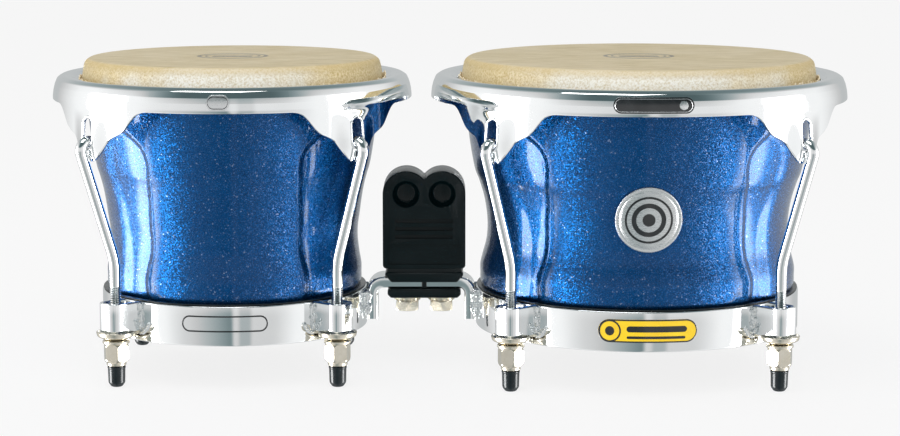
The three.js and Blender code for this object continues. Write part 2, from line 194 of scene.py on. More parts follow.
def glass_mat(g):
    """The back of the fibreglass: chopped strands under dark grey resin."""
    place = g.place()
    strands = g.add("ShaderNodeTexVoronoi", {"Vector": place, "Scale": 260}, out="Color")
    shade, _, _ = g.axes(strands)
    drift = g.noise(place, 60, 4, 0.6)
    colour = g.mix(g.spread(shade, 0.1, 0.9), (0.045, 0.048, 0.050), (0.105, 0.108, 0.105))
    colour = g.mix(g.spread(drift, 0.4, 0.75, 0, 0.5), colour, (0.15, 0.145, 0.13))
    relief = g.math("ADD", g.math("MULTIPLY", shade, 0.5), drift)
    return {"Base Color": colour, "Roughness": g.spread(drift, 0.3, 0.7, 0.42, 0.62),
            "Normal": g.bump(relief, 0.35, 0.0004)}


def mottled(name, colours, tone, rough, relief, share=None, grain=None, **constants):
    """A finish whose colour and roughness drift with one noise, tone.

    tone and grain are (scale, detail, roughness) of a noise. The bumps follow grain, or else tone.
    rough is (from, to, low, high), relief is a bump's (strength, distance), and share is the range of
    tone that goes from one colour to the other.
    """

    def build(g):
        place = g.place()
        drift = g.noise(place, *tone)
        bumps = g.noise(place, *grain) if grain else drift
        colour = g.mix(g.spread(drift, *share) if share else drift, *colours)
        fixed = {key.replace("_", " "): value for key, value in constants.items()}
        return {"Base Color": colour, "Roughness": g.spread(drift, *rough),
                "Normal": g.bump(bumps, *relief), **fixed}

    build.__name__ = name
    return build


def enamel(name, *colours):
    return mottled(name, colours, (140, 3), (0.3, 0.7, 0.16, 0.30), (0.06, 0.0003), share=(0.35, 0.7),
                   Coat_Weight=0.6, Coat_Roughness=0.05)


chrome = mottled("chrome", [(0.86, 0.885, 0.895), (0.92, 0.93, 0.93)], (55, 4, 0.6), (0.3, 0.8, 0.03, 0.09),
                 (0.06, 0.0006), grain=(28, 1), Metallic=1.0)
# Chrome plate over a rough weld.
weld = mottled("weld", [(0.70, 0.73, 0.74), (0.93, 0.94, 0.94)], (700, 5, 0.65), (0.3, 0.8, 0.08, 0.26),
               (0.8, 0.0005), Metallic=1.0)
nickel = mottled("nickel", [(0.80, 0.76, 0.66), (0.68, 0.63, 0.52)], (120, 4, 0.6), (0.3, 0.8, 0.14, 0.30),
                 (0.12, 0.0001), share=(0.3, 0.75), grain=(2600, 2), Metallic=1.0)
steel = mottled("steel", [(0.42, 0.42, 0.41), (0.62, 0.61, 0.58)], (260, 5, 0.65), (0.3, 0.8, 0.35, 0.6),
                (0.3, 0.0002), Metallic=1.0)
# Moulded black rubber with a faint bloom and a polished skin.
rubber = mottled("rubber", [(0.002, 0.006, 0.008), (0.008, 0.014, 0.017)], (160, 4, 0.6),
                 (0.3, 0.8, 0.16, 0.30), (0.15, 0.0001), share=(0.4, 0.75), grain=(3200, 2),
                 Specular_IOR_Level=0.4)
# Glass-filled nylon with a fine spark-eroded grain.
nylon = mottled("nylon", [(0.0006, 0.0035, 0.0042), (0.0015, 0.0060, 0.0072)], (60, 3),
                (0.3, 0.7, 0.16, 0.26), (0.18, 0.0001), share=(0.3, 0.7), grain=(2400, 3, 0.6),
                Specular_IOR_Level=0.22)
black_enamel = enamel("black_enamel", (0.006, 0.007, 0.008), (0.014, 0.016, 0.018))
yellow_enamel = enamel("yellow_enamel", (0.95, 0.66, 0.01), (0.88, 0.57, 0.005))


def hide(drum):
    """Sanded hide: tan and streaked on the playing face, creamy and freckled round the collar, with a pale
    painted sheen on the collar's front.
    """
    middle = (drum.x * MM, 0, drum.collar * MM)

    def build(g):
        place = g.place()
        x, y, z = g.axes(place)
        along = g.add("ShaderNodeCombineXYZ", {0: g.math("MULTIPLY", x, 0.16), 1: y, 2: z})
        streaks = g.noise(along, 300, 5, 0.7)
        blotches = g.noise(place, 26, 3, 0.6)
        freckles = g.noise(place, 900, 3, 0.7)
        flat = g.spread(z, 0.1820, 0.1829, smooth=True)
        side = g.mix(g.spread(freckles, 0.38, 0.66), (0.78, 0.67, 0.43), (0.52, 0.38, 0.16))
        # The front of the collar, towards -Y and broken up by blotches, gets a pale painted sheen: a
        # highlight painted into the colour, over the freckles.
        front = g.math("DIVIDE", g.math("SUBTRACT", middle[1], y), middle[2])
        front = g.math("ADD", front, g.spread(blotches, 0.3, 0.7, -0.16, 0.16))
        painted_sheen = g.mix(g.spread(freckles, 0.42, 0.66), (0.84, 0.83, 0.77), (0.62, 0.55, 0.40))
        side = g.mix(g.spread(front, 0.62, 0.92, smooth=True), side, painted_sheen)
        low = g.spread(z, 0.177, 0.1812, smooth=True)
        side = g.mix(g.math("MULTIPLY", low, 0.6), side, (0.50, 0.39, 0.19))
        top = g.mix(g.spread(streaks, 0.32, 0.68), (0.61, 0.52, 0.34), (0.45, 0.37, 0.22))
        top = g.mix(g.spread(blotches, 0.4, 0.7, 0, 0.5), top, (0.63, 0.55, 0.40))
        dx = g.math("DIVIDE", g.math("SUBTRACT", x, middle[0]), 0.0195)
        dy = g.math("DIVIDE", g.math("SUBTRACT", y, middle[1]), 0.0185)
        around = g.math("SQRT", g.math("ADD", g.math("MULTIPLY", dx, dx), g.math("MULTIPLY", dy, dy)))
        print_ring = g.math("MAXIMUM", g.pulse(around, 1.0, 0.09), g.pulse(around, 0.80, 0.05))
        inside = g.spread(g.math("ABSOLUTE", dx), 0.62, 0.56)
        bars = g.math("MAXIMUM", g.pulse(dy, 0.30, 0.13), g.pulse(dy, -0.22, 0.24))
        print_ring = g.math("MAXIMUM", print_ring, g.math("MULTIPLY", inside, bars))
        worn = g.math("MULTIPLY", print_ring, g.spread(freckles, 0.3, 0.6, 0.35, 0.9))
        top = g.mix(worn, top, (0.13, 0.14, 0.15))
        return {"Base Color": g.mix(flat, side, top), "Roughness": g.spread(streaks, 0.3, 0.7, 0.36, 0.58),
                "Normal": g.bump(g.math("ADD", streaks, freckles), 0.30, 0.0003),
                "Subsurface Weight": 0.08, "Subsurface Radius": (0.004, 0.003, 0.002),
                "Specular IOR Level": 0.12}

    build.__name__ = drum.node("hide")
    return build


def raw_hide(g):
    place = g.place()
    fibres = g.noise(place, 900, 4, 0.7)
    colour = g.mix(g.spread(fibres, 0.35, 0.7), (0.93, 0.88, 0.74), (0.62, 0.45, 0.20))
    return {"Base Color": colour, "Roughness": 0.8, "Normal": g.bump(fibres, 0.7, 0.0005)}


def brushed(g):
    x, y, z = g.axes(g.place())
    lines = g.add("ShaderNodeCombineXYZ", {0: g.math("MULTIPLY", x, 0.02), 1: y, 2: z})
    brush = g.noise(lines, 4200, 3, 0.6)
    colour = g.mix(brush, (0.70, 0.71, 0.72), (0.90, 0.91, 0.91))
    return {"Base Color": colour, "Metallic": 1.0, "Roughness": g.spread(brush, 0.3, 0.7, 0.20, 0.38),
            "Normal": g.bump(brush, 0.15, 0.00008)}


def floor(_):
    return {"Base Color": (0.10, 0.10, 0.10), "Roughness": 0.9, "Specular IOR Level": 0.0,
            "Emission Color": (1, 1, 1), "Emission Strength": 0.84}


def studio():
    """A room for chrome to mirror: tall boxes at the sides, a grey front with a step, and a dark ceiling."""
    world = bpy.data.worlds.new("studio")
    world.use_nodes = True
    scene.world = world
    g = Graph(world.node_tree)
    x, y, z = g.axes(g.add("ShaderNodeTexCoord", out="Generated"))
    azimuth = g.math("ARCTAN2", x, g.math("MULTIPLY", y, -1.0))
    away = g.math("ABSOLUTE", azimuth)

    def level(a, b, share):
        return g.math("ADD", a, g.math("MULTIPLY", share, g.math("SUBTRACT", b, a)))

    def share_of(*factors):
        product = factors[0]
        for factor in factors[1:]:
            product = g.math("MULTIPLY", product, factor)
        return product

    lift = g.spread(z, -0.12, 0.04, smooth=True)
    walls = level(level(0.68, 0.84, lift), 1.0, g.spread(away, 0.6, 1.1, smooth=True))
    walls = level(walls, 0.55, g.spread(away, 1.9, 2.6, smooth=True))
    shade = g.spread(azimuth, -0.62, -0.02), g.spread(azimuth, 0.07, 0.0, smooth=True)
    walls = level(walls, 0.27, share_of(*shade, level(1.0, 0.3, lift)))
    walls = level(walls, 0.42, share_of(g.pulse(azimuth, 0.22, 0.13), level(0.8, 0.3, lift)))
    ceiling = level(g.spread(z, 0.28, 0.46, smooth=True), g.spread(z, 0.30, 1.0),
                    g.spread(away, 0.5, 1.3, smooth=True))
    mirrored = level(walls, 0.13, ceiling)
    low = g.spread(z, 0.62, 0.30, smooth=True)
    core = g.pulse(z, -0.16, 0.56)
    side_boxes = ((1.05, -1.50, 0.62, low), (1.0, 1.45, 0.55, low),
                  (21.0, -1.46, 0.31, core), (14.0, 1.47, 0.30, core))
    for strength, at, width, height in side_boxes:
        mirrored = level(mirrored, strength, share_of(g.pulse(azimuth, at, width), height))
    tint = g.mix(g.spread(mirrored, 0.1, 0.6), (0.62, 0.95, 1.0), (1.0, 1.0, 1.0))
    for_glossy = g.add("ShaderNodeBackground", {"Color": tint, "Strength": mirrored})
    soft = level(0.78, 0.60, g.spread(x, -0.6, 0.7))
    soft = level(soft, 1.5, g.spread(y, -0.35, -1.0))
    for_diffuse = g.add("ShaderNodeBackground", {"Color": (1, 1, 1), "Strength": soft})
    path = g.add("ShaderNodeLightPath").node
    shown = g.add("ShaderNodeMixShader", {0: path.outputs["Is Glossy Ray"], 1: for_diffuse, 2: for_glossy})
    g.add("ShaderNodeOutputWorld", {"Surface": shown})
    area_light("top_box", (-0.3, -0.6, 1.9), (0, 0, 0.1), (1.2, 0.9), 13)


def pale_floor():
    """A large sheet just below the feet, which chrome doesn't mirror."""
    mesh = bpy.data.meshes.new("floor")
    half = 9.0
    corners = [(-half, -half, 0), (half, -half, 0), (half, half, 0), (-half, half, 0)]
    mesh.from_pydata(corners, [], [(0, 1, 2, 3)])
    mesh.materials.append(finish(floor))
    sheet = bpy.data.objects.new("floor", mesh)
    scene.collection.objects.link(sheet)
    sheet.location.z = -0.0001
    sheet.visible_glossy = False
    sheet.visible_shadow = False


# ---------- Shapes: each is (points, faces), in millimetres ----------


def grid(points, loop_u=True, loop_v=True):
    """Faces between neighbouring points of an n by m grid of points."""
    points = np.asarray(points, float)
    n, m = points.shape[:2]
    index = np.arange(n * m).reshape(n, m)
    if loop_u:
        index = np.vstack([index, index[:1]])
    if loop_v:
        index = np.hstack([index, index[:, :1]])
    faces = np.stack([index[:-1, :-1], index[:-1, 1:], index[1:, 1:], index[1:, :-1]], -1).reshape(-1, 4)
    return points.reshape(-1, 3), faces.tolist()


def loft(rings):
    """A solid through closed rings of points, with a flat cap at each end."""
    points, faces = grid(rings, loop_u=False)
    m = len(rings[0])
    first, last = list(range(m)), list(range(len(points) - m, len(points)))
    return points, [*faces, first, last]


def together(*shapes):
    points, faces, start = [], [], 0
    for shape_points, shape_faces in shapes:
        points.append(shape_points)
        faces += [[i + start for i in face] for face in shape_faces]
        start += len(shape_points)
    return np.vstack(points), faces


def circle(count):
    """Evenly spaced angles, once round."""
    return np.linspace(0, 2 * math.pi, count, endpoint=False)


def ringed(angles, section):
    """Stands a row of (radius, height) at each angle."""
    r, z = section[..., 0], section[..., 1]
    return np.stack([r * np.cos(angles)[:, None], r * np.sin(angles)[:, None], z], -1)


def rectangle(half, low, high, radius):
    """Corners of (x, y, radius), half either side of x = 0."""
    return [(-half, low, radius), (half, low, radius), (half, high, radius), (-half, high, radius)]


def both_sides(left):
    """Corners of (x, y, radius) from the left, and the same ones mirrored."""
    return left + [(-x, *rest) for x, *rest in left[::-1]]


def turned_to(shape, degrees):
    a = math.radians(degrees)
    spin = np.array([[math.cos(a), -math.sin(a), 0], [math.sin(a), math.cos(a), 0], [0, 0, 1]])
    return shape[0] @ spin.T, shape[1]


def moved(shape, x=0.0, y=0.0):
    return shape[0] + np.array([x, y, 0.0]), shape[1]


def revolved(section, segments=96):
    """Turned about Z from a section of (radius, height), closed or with both ends on the axis."""
    rows = np.tile(np.asarray(section, float), (segments, 1, 1))
    return grid(ringed(circle(segments), rows), loop_v=section[0][0] > 0)


def rounded(corners, steps=5, closed=True):
    """A line through corners of (x, y, radius), each one rounded off."""
    made = []
    count = len(corners)
    for i, (x, y, *radius) in enumerate(corners):
        ends = not closed and i in (0, count - 1)
        if ends or not radius or radius[0] <= 0:
            made.append((x, y))
            continue
        p = np.array((x, y), float)
        a = np.array(corners[i - 1][:2]) - p
        b = np.array(corners[(i + 1) % count][:2]) - p
        la, lb = np.linalg.norm(a), np.linalg.norm(b)
        a, b = a / la, b / lb
        angle = math.acos(max(-1.0, min(1.0, float(a @ b))))
        if math.pi - angle < 0.02:
            made.append((x, y))
            continue
        back = min(radius[0] / math.tan(angle / 2), 0.49 * la, 0.49 * lb)
        size = back * math.tan(angle / 2)
        middle = p + (a + b) / np.linalg.norm(a + b) * size / math.sin(angle / 2)
        v0, v1, sweep = p + a * back - middle, p + b * back - middle, math.pi - angle
        for k in range(steps + 1):
            t = k / steps
            at = middle + (math.sin((1 - t) * sweep) * v0 + math.sin(t * sweep) * v1) / math.sin(sweep)
            made.append(tuple(at))
    return made


def run_along(line):
    """Length along a line of points, up to each of them."""
    return np.concatenate([[0], np.cumsum(np.linalg.norm(np.diff(line, axis=0), axis=1))])


def resampled(line, count):
    """Evenly spaced points along a line, and how far along each one is."""
    run = run_along(line)
    want = np.linspace(0, run[-1], count)
    return np.stack([np.interp(want, run, line[:, k]) for k in range(line.shape[1])], -1), want


def smooth_line(knots, count):
    """Evenly spaced points on a Catmull-Rom curve through the knots."""
    knots = np.asarray(knots, float)
    padded = np.vstack([2 * knots[0] - knots[1], knots, 2 * knots[-1] - knots[-2]])
    fine = []
    for i in range(len(knots) - 1):
        p0, p1, p2, p3 = padded[i:i + 4]
        for t in np.linspace(0, 1, 24, endpoint=False):
            fine.append(0.5 * (2 * p1 + (p2 - p0) * t + (2 * p0 - 5 * p1 + 4 * p2 - p3) * t * t
                               + (3 * p1 - p0 - 3 * p2 + p3) * t ** 3))
    fine.append(knots[-1])
    return resampled(np.array(fine), count)[0]


def smoothstep(low, high, x):
    t = np.clip((x - low) / (high - low), 0, 1)
    return t * t * (3 - 2 * t)


def framed(path, side):
    """The points of a flat path, its side as an array, and the normal to both at each point."""
    path, side = np.asarray(path, float), np.asarray(side, float)
    tangent = np.gradient(path, axis=0)
    tangent /= np.linalg.norm(tangent, axis=1)[:, None]
    return path, side, np.cross(side, tangent)


def swept(path, side, section):
    """A flat path swept by a closed section of (across, along side)."""
    path, side, normal = framed(path, side)
    return loft([p + np.array([a * n + b * side for a, b in section]) for p, n in zip(path, normal)])


def tube(path, side, radii, sides=20):
    """A round rod along a flat path. radii has a row for each point, with one radius or one per side."""
    path, side, normal = framed(path, side)
    radii = np.broadcast_to(np.asarray(radii, float).reshape(len(path), -1), (len(path), sides))
    angles = circle(sides)
    rings = [p + radius[:, None] * (np.cos(angles)[:, None] * n + np.sin(angles)[:, None] * side)
             for p, n, radius in zip(path, normal, radii)]
    return loft(rings)


def bead(path, radius, side, seed=0.0, sides=12, step=0.45):
    """A rough weld bead along a line of points."""
    path = np.asarray(path, float)
    line, along = resampled(path, max(4, int(run_along(path)[-1] / step)))
    radii = np.zeros((len(line), sides))
    for i, at in enumerate(along):
        ends = min(1.0, 0.35 + min(at, along[-1] - at) / (1.2 * radius))
        for j in range(sides):
            around = 2 * math.pi * j / sides
            probe = Vector((math.cos(around) * 1.3 + seed, math.sin(around) * 1.3, at * 0.62 + seed))
            ripple = 0.10 * math.sin(at * 3.6 + math.cos(around) * 1.5)
            radii[i, j] = radius * ends * (1 + 0.42 * noise.noise(probe) + ripple)
    return tube(line, side, radii, sides)


def slab(outline, low, high):
    outline = np.asarray(outline, float)
    rings = [np.column_stack([outline, np.full(len(outline), z)]) for z in (low, high)]
    return loft(rings)


def box(x0, x1, y0, y1, z0, z1):
    return slab([(x0, y0), (x1, y0), (x1, y1), (x0, y1)], z0, z1)


def facing(outline, y0, y1):
    """A slab seen from the front: its outline is (x, z)."""
    points, faces = slab(outline, y0, y1)
    return np.column_stack([points[:, 0], points[:, 2], points[:, 1]]), faces


# ---------- Pieces ----------


def smooth_shading(mesh, crease):
    mesh.polygons.foreach_set("use_smooth", [True] * len(mesh.polygons))
    mesh.set_sharp_from_angle(angle=math.radians(crease))
    mesh.update()


def mesh_object(name, shape, crease=34):
    points, faces = shape
    mesh = bpy.data.meshes.new(name)
    mesh.from_pydata((np.asarray(points) * MM).tolist(), [], faces)
    bm = bmesh.new()
    bm.from_mesh(mesh)
    bmesh.ops.remove_doubles(bm, verts=bm.verts, dist=2e-7)
    bmesh.ops.dissolve_degenerate(bm, edges=bm.edges, dist=1e-7)
    bmesh.ops.recalc_face_normals(bm, faces=bm.faces)
    bm.to_mesh(mesh)
    bm.free()
    smooth_shading(mesh, crease)
    obj = bpy.data.objects.new(name, mesh)
    scene.collection.objects.link(obj)
    return obj


def baked(obj, crease=34):
    """Applies the object's modifiers."""
    mesh = bpy.data.meshes.new_from_object(obj.evaluated_get(bpy.context.evaluated_depsgraph_get()))
    obj.modifiers.clear()
    obj.data = mesh
    smooth_shading(mesh, crease)
    return obj


def bevelled(obj, width, segments=3, over=40):
    edge = obj.modifiers.new("edge", "BEVEL")
    edge.width, edge.segments = width * MM, segments
    edge.limit_method, edge.angle_limit = "ANGLE", math.radians(over)
    edge.use_clamp_overlap = True
    return baked(obj)


def carved(obj, *cuts):
    tool = mesh_object("tool", together(*cuts))
    cut = obj.modifiers.new("cut", "BOOLEAN")
    cut.operation, cut.solver, cut.object = "DIFFERENCE", "EXACT", tool
    baked(obj)
    bpy.data.objects.remove(tool)
    return obj


def settle(obj, look, body=None, node=None):
    """Finishes a piece: its look, the body it rides on and the CAD node it stands for."""
    if look:
        obj.data.materials.clear()
        obj.data.materials.append(finish(look))
    if node:
        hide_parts(node)
    if body:
        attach(obj, body)


class Drum:
    """A drum's measures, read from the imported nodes."""

    def __init__(self, name, outline, channel):
        self.name, self.outline, self.channel = name, outline, channel
        low, high = (np.array(v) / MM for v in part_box(f"{name}_skin"))
        self.x, self.collar = (low[0] + high[0]) / 2, (high[0] - low[0]) / 2
        self.rim = self.half(f"{name}_rim")
        self.ring = self.half(f"{name}_bottom_ring")
        foot_low, foot_high = (np.array(v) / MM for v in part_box(f"{name}_foot_front_right"))
        middle = (foot_low + foot_high) / 2
        self.rod = math.hypot(middle[0] - self.x, middle[1])
        self.tuning = f"{name}_tuning"

    @staticmethod
    def half(node):
        low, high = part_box(node)
        return (high.x - low.x) / 2 / MM

    def node(self, part):
        return f"{self.name}_{part}"

    def piece(self, part, shape, crease=34):
        return mesh_object("look_" + self.node(part), moved(shape, self.x), crease)

    def at_lug(self, shape, degrees, axis=False):
        """Turns a shape that faces +X to a lug. With axis, the shape is drawn about the rod's axis."""
        return turned_to(moved(shape, self.rod) if axis else shape, degrees)


# An outline is (radius, height), and a channel is (height, half width).
MACHO = Drum(
    "macho",
    [(72.7, 34.1), (72.75, 47.6), (73.7, 49.8), (74.4, 52.5), (74.4, 56), (74.4, 61), (73.2, 68.5),
     (72.3, 77), (72.5, 84), (73.5, 91), (74.6, 99), (76, 107), (77.9, 114.5), (79.8, 121), (82, 134),
     (83.8, 148), (85, 162), (85.75, 176)],
    [(46, 11.5), (53, 9.6), (57, 9.1), (64, 9.1), (68, 9.7), (74, 11.1), (78, 11.4), (90, 11.75), (100, 12.8),
     (110, 14.5), (120, 16.6), (126, 17.7), (132, 17.2), (137, 14.5), (141, 10), (145, 3), (149, -8)])
HEMBRA = Drum(
    "hembra",
    [(89.7, 34.1), (89.75, 47.6), (91.3, 49.8), (92, 52.5), (92, 56), (92, 61), (90.6, 67), (88.7, 74),
     (87.9, 80), (87.8, 86), (88.3, 92), (89.2, 98), (90.6, 104), (93, 111.5), (95.4, 118), (98, 132),
     (100, 148), (101.1, 162), (101.6, 176)],
    [(46, 8.5), (53, 6.8), (57, 6.2), (64, 6.2), (68, 7.0), (74, 8.0), (78, 8.3), (95, 9.25), (104, 11.4),
     (110, 12.8), (120, 15.2), (126, 16.4), (132, 16), (137, 13.5), (141, 9), (145, 2), (149, -8)])


def lug_columns(near, far, near_step, far_step):
    """Angles around a drum, close together within near degrees of each lug."""
    half = np.concatenate([np.arange(0, near, near_step), np.arange(near, far, far_step)])
    offsets = np.concatenate([-half[:0:-1], half])
    return np.radians(np.concatenate([degrees + offsets for degrees in sorted(LUGS.values())])), offsets


def shell(drum):
    """A waisted moulded shell with a shallow channel behind each rod, rising to an arch under the ear."""
    angles, offsets = lug_columns(17.0, 45.0, 0.4, 1.4)
    delta = np.radians(np.abs(np.tile(offsets, 4)))
    outer = smooth_line(drum.outline, 130)
    (foot_r, foot_z), edge, wall = drum.outline[0], drum.outline[-1][0], 7
    top = [(edge + 0.02, 178), (edge - 0.6, 179.6), (edge - 1.9, 180.7), (edge - 3.75, 181),
           (edge - 6.25, 181)]
    inner = [(r - wall, z) for r, z in drum.outline[2:][::-1]] + [(foot_r - wall, foot_z)]
    inner = smooth_line(inner, 40)
    width = np.interp(outer[:, 1], *zip(*drum.channel))
    out = delta[:, None] * 0 + outer[None, :, 0]
    past = out * np.sin(np.minimum(delta, 1.2))[:, None] - width[None, :]
    soft = np.where(np.abs(np.cos(angles)) < math.sqrt(0.5), 2.5, 6.0)[:, None]
    depth = 1.6 * smoothstep(1, -1, past / soft) * smoothstep(45.5, 48.5, outer[:, 1])[None, :]
    out = out - depth
    sections = np.zeros((len(angles), len(outer) + len(top) + len(inner), 2))
    sections[:, :len(outer), 0], sections[:, :len(outer), 1] = out, outer[:, 1]
    sections[:, len(outer):len(outer) + len(top)] = top
    sections[:, len(outer) + len(top):] = inner
    obj = drum.piece("shell", grid(ringed(angles, sections)), 50)
    obj.data.materials.append(finish(blue_sparkle))
    obj.data.materials.append(finish(glass_mat))
    for face in obj.data.polygons:
        c = face.center
        radial = Vector((c.x - drum.x * MM, c.y, 0))
        face.material_index = int(face.normal.dot(radial) < 0 or face.normal.z < -0.9)
    settle(obj, None, "root", drum.node("shell"))


def skin(drum):
    """The hide: flat playing face, rounded shoulder and a collar with soft folds."""
    c = drum.collar
    face = [(r, HEAD_TOP) for r in np.linspace(0, c - 7.5, 14)]
    shoulder = rounded([(c - 7.5, HEAD_TOP), (c - 4.8, HEAD_TOP, 10), (c - 1.7, 180.8, 4.5),
                        (c - 0.6, 176, 8), (c, 172.6)], 7, closed=False)[1:]
    collar = [(c, z) for z in np.linspace(172, 163, 10)]
    under = [(c - 1.2, 163), (c - 1.2, 176.5), (c - 2.1, 179.8), (c - 5, 181.3), (c - 20, 181.3), (0, 181.3)]
    section = np.array(face + shoulder + collar + under)
    angles = circle(288)
    sections = np.tile(section, (len(angles), 1, 1))
    last = len(section) - len(under)
    for i, a in enumerate(angles):
        for j in range(len(face), last):
            low = smoothstep(182, 166, section[j, 1])
            probe = Vector((math.cos(a) * 9, math.sin(a) * 9, section[j, 1] * 0.05 + c))
            fine = Vector((math.cos(a) * 40, math.sin(a) * 40, section[j, 1] * 0.4))
            sections[i, j, 0] += low * (0.35 * noise.noise(probe) - 0.3) + 0.06 * noise.noise(fine)
    obj = drum.piece("skin", grid(ringed(angles, sections), loop_v=False), 60)
    settle(obj, hide(drum), node=drum.node("skin"))
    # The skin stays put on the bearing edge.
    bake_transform(obj)


def hide_edge(drum):
    """The trimmed edge of the hide, standing up ragged between the collar and the rim."""
    c = drum.collar
    angles = circle(900)
    rings = []
    for a in angles:
        wide = noise.noise(Vector((math.cos(a) * 5, math.sin(a) * 5, c)))
        fine = noise.noise(Vector((math.cos(a) * 42, math.sin(a) * 42, c)))
        hair = noise.noise(Vector((math.cos(a) * 160, math.sin(a) * 160, c)))
        top = 171.4 + 1.4 * wide + 1.6 * fine + 1.1 * hair
        lean = 0.9 + 0.5 * fine + 0.25 * wide
        inner, outer = c + 0.25, c + 1.0
        rings.append([(inner, 164), (outer, 164), (outer + 0.2 + lean * 0.4, 169), (outer + lean * 0.9, top),
                      (outer + lean * 0.9 - 0.45, top + 0.1), (inner + lean * 0.3, 169)])
    obj = drum.piece("hide_edge", grid(ringed(angles, np.array(rings))), 60)
    settle(obj, raw_hide, drum.tuning)


def flesh_hoop(drum):
    low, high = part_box(drum.node("flesh_hoop"))
    z0, z1 = low.z / MM, high.z / MM
    inner, outer = drum.collar + 0.5, (high.x - low.x) / 2 / MM
    section = rounded([(inner, z0, 0.8), (outer, z0, 1.4), (outer, z1, 1.8), (inner, z1, 0.8)])
    obj = drum.piece("flesh_hoop", revolved(section, 128))
    settle(obj, steel, drum.tuning, drum.node("flesh_hoop"))


EAR_EDGE = [(0, 130), (2, 130.15), (4, 130.8), (6, 132.1), (7.8, 133.8), (10, 136.4), (12, 139), (14, 141.6),
            (16.5, 143.6), (20, 145.3), (23, 146.6), (25.5, 148.3), (28, 151.1), (31, 154.6), (34, 157.3),
            (37, 158.8), (40, 159.35), (44, 159.4)]
EAR_NOSE = [(128, 0.4), (130, 0.95), (133.2, 2.2), (136, 2.8), (138.8, 3.1), (143.5, 3.0), (147, 2.7),
            (152.6, 2.1), (155.5, 1.3), (157.2, 0.7), (158.4, 0.25), (159.4, 0)]
SLOT = {"half": 4.3, "foot": 136.8, "top": 155.0}
SLOT_ARC = 25


def ear_face(drum, s, z):
    """Radius of the ear's outer face at arc length s from the lug."""
    across = 0.5 + 0.5 * np.cos(np.clip(np.abs(s) / 17, 0, 1) * math.pi)
    return drum.rim - 0.12 + np.interp(z, *zip(*EAR_NOSE)) * across


def rim(drum):
    """A pressed rim: a rounded crown, and a face that swells at each lug into an ear with a slot."""
    reach = math.degrees(42 / drum.rim)
    angles, offsets = lug_columns(reach, 45.0, math.degrees(0.55 / drum.rim), 1.5)
    s = np.radians(np.tile(offsets, 4)) * drum.rim
    foot = np.interp(np.abs(s), *zip(*smooth_line(EAR_EDGE, 200)))
    crown = rounded([(-12.3, 8.3), (-14.4, 8.3, 0.9), (-14.4, 10.3, 1.6), (-11, 13.5, 3.5), (-5.6, 14.1, 3.5),
                     (-2.7, 12.2, 2.4), (-1.3, 8.8, 5), (-0.5, 5.4, 5), (-0.2, 3)], 5, closed=False)
    face = [(-0.14, 2.3), (-0.11, 1.7), (-0.1, 1.1)]
    fixed = np.array(crown + face) + (drum.rim, RIM_EDGE)
    inside = np.array([(-3.4, 4), (-4, 9.1), (-6, 11.6), (-10.6, 11.3)]) + (drum.rim, RIM_EDGE)
    share = np.linspace(0, 1, 42)
    start, thick = RIM_EDGE + 0.45, 1.9
    columns = []
    for at, low in zip(s, foot):
        z = start - share * (start - low - 0.6)
        out = ear_face(drum, at, z)
        back = ear_face(drum, at, z[::-1]) - thick
        back = back - 0.55 * smoothstep(156, 159.6, z[::-1])
        turn = [(out[-1] - 0.3, low + 0.15), (out[-1] - 0.95, low), (out[-1] - 1.6, low + 0.15)]
        front, rear = np.column_stack([out, z]), np.column_stack([back, z[::-1]])
        columns.append(np.vstack([fixed, front, turn, rear, inside]))
    obj = drum.piece("rim", grid(ringed(angles, np.array(columns))), 42)
    cutters, lips = [], []
    half, foot_z, top_z = SLOT["half"], SLOT["foot"] + SLOT["half"], SLOT["top"] - SLOT["half"]
    arc = np.linspace(0, math.pi, SLOT_ARC)
    outline = [(half * math.cos(a), top_z + half * math.sin(a)) for a in arc]
    outline += [(-half * math.cos(a), foot_z - half * math.sin(a)) for a in arc]
    for degrees in LUGS.values():
        flat, faces = slab(outline, drum.rim - 12, drum.rim + 12)
        prism = np.column_stack([flat[:, 2], flat[:, 0], flat[:, 1]]), faces
        cutters.append(moved(turned_to(prism, degrees), drum.x))
        lips.append(drum.at_lug(slot_lip(drum, outline), degrees))
    joined(carved(obj, *cutters), drum.piece("slot_lips", together(*lips), 60))
    settle(obj, chrome, drum.tuning, drum.node("rim"))


def slot_lip(drum, outline):
    """The edge of the slot is rolled outwards."""
    coarse, ring = np.array(outline), []
    for k, (here, there) in enumerate(zip(coarse, np.roll(coarse, -1, 0)), 1):
        straight = k % SLOT_ARC == 0
        ring += [here + (there - here) * t for t in np.linspace(0, 1, 14 if straight else 1, endpoint=False)]
    ring = np.array(ring)
    middle = np.array([0, (SLOT["foot"] + SLOT["top"]) / 2])
    tangent = np.roll(ring, -1, 0) - np.roll(ring, 1, 0)
    tangent /= np.linalg.norm(tangent, axis=1)[:, None]
    outward = np.column_stack([tangent[:, 1], -tangent[:, 0]])
    outward *= np.sign(np.sum(outward * (ring - middle), 1))[:, None]
    rings = []
    for (s, z), (ns, nz) in zip(ring, outward):
        around = []
        for a in circle(16):
            along = 0.10 + 0.75 * math.cos(a)
            ss, zz = s + ns * along, z + nz * along
            radius = ear_face(drum, np.array(s), z) - 0.25 + 0.62 * math.sin(a)
            around.append((radius * math.cos(ss / drum.rim), radius * math.sin(ss / drum.rim), zz))
        rings.append(around)
    return grid(rings)


def joined(first, *others):
    """Adds the other objects' meshes to the first one."""
    bm = bmesh.new()
    for obj in (first, *others):
        bm.from_mesh(obj.data)
    bm.to_mesh(first.data)
    bm.free()
    for obj in others:
        bpy.data.objects.remove(obj)
    return first


